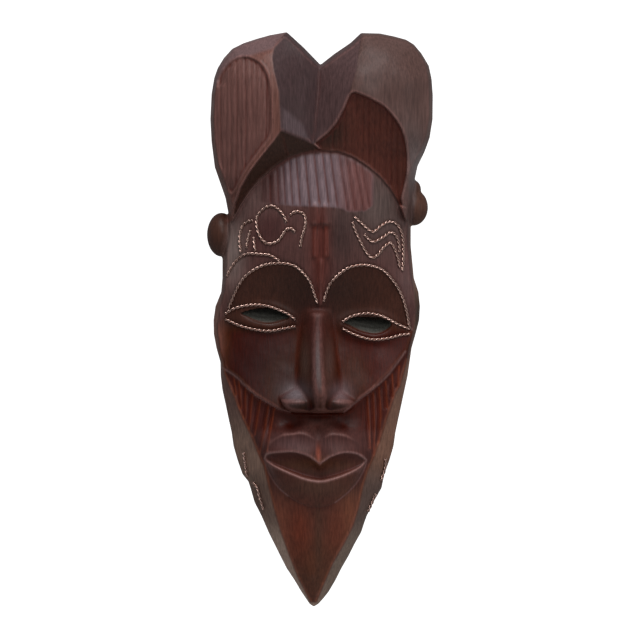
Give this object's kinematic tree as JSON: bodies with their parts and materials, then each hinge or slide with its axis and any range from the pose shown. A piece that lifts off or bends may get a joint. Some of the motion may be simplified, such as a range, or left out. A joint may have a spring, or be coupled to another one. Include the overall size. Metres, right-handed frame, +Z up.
{
  "type": "carved wooden mask",
  "caption": "Carved dark-wood wall mask with a two-lobed crest, twisted wire pressed along the brows, eyelids, forehead and jaw, and a folding ring hanger let into its back.",
  "frame": {"origin": "on the wall plane, behind the middle of the nose bridge, half way between the tip of the chin and the top of the crest", "axes": "+Z up, +X to the viewer's right, +Y into the wall; the face looks along -Y"},
  "size_m": [0.1696, 0.0855, 0.43],
  "materials": {
    "carved_wood": "waxed dark stained hardwood, redder in the cut recesses",
    "twisted_wire": "twisted pair of soft wire, tarnished towards copper",
    "hanger_brass": "satin brass plate",
    "screw_steel": "zinc plated"
  },
  "bodies": {
    "mask": {"brow_wire_left_lower": "twisted_wire", "brow_wire_left_upper": "twisted_wire", "brow_wire_right": "twisted_wire", "carved_body": "carved_wood", "curl_wire_left_arch": "twisted_wire", "curl_wire_left_hook": "twisted_wire", "curl_wire_left_loop": "twisted_wire", "curl_wire_left_stem": "twisted_wire", "curl_wire_left_stub": "twisted_wire", "eyelid_wire_left_lower": "twisted_wire", "eyelid_wire_left_upper": "twisted_wire", "eyelid_wire_right_lower": "twisted_wire", "eyelid_wire_right_upper": "twisted_wire", "hanger_screw_lower": "screw_steel", "hanger_screw_upper": "screw_steel", "hanger_strap": "hanger_brass", "jaw_wire_left_lower": "twisted_wire", "jaw_wire_left_upper": "twisted_wire", "jaw_wire_right_lower": "twisted_wire", "jaw_wire_right_upper": "twisted_wire", "zigzag_wire_lower": "twisted_wire", "zigzag_wire_middle": "twisted_wire", "zigzag_wire_outer": "twisted_wire"},
    "ring": {"hanger_ring": "hanger_brass"}
  },
  "joints": [
    {"name": "ring_hinge", "type": "hinge", "parent": "mask", "child": "ring", "pos_m": [0.002, -0.0054, 0.156], "axis": [1, 0, 0], "range_deg": [0, 180]}
  ]
}
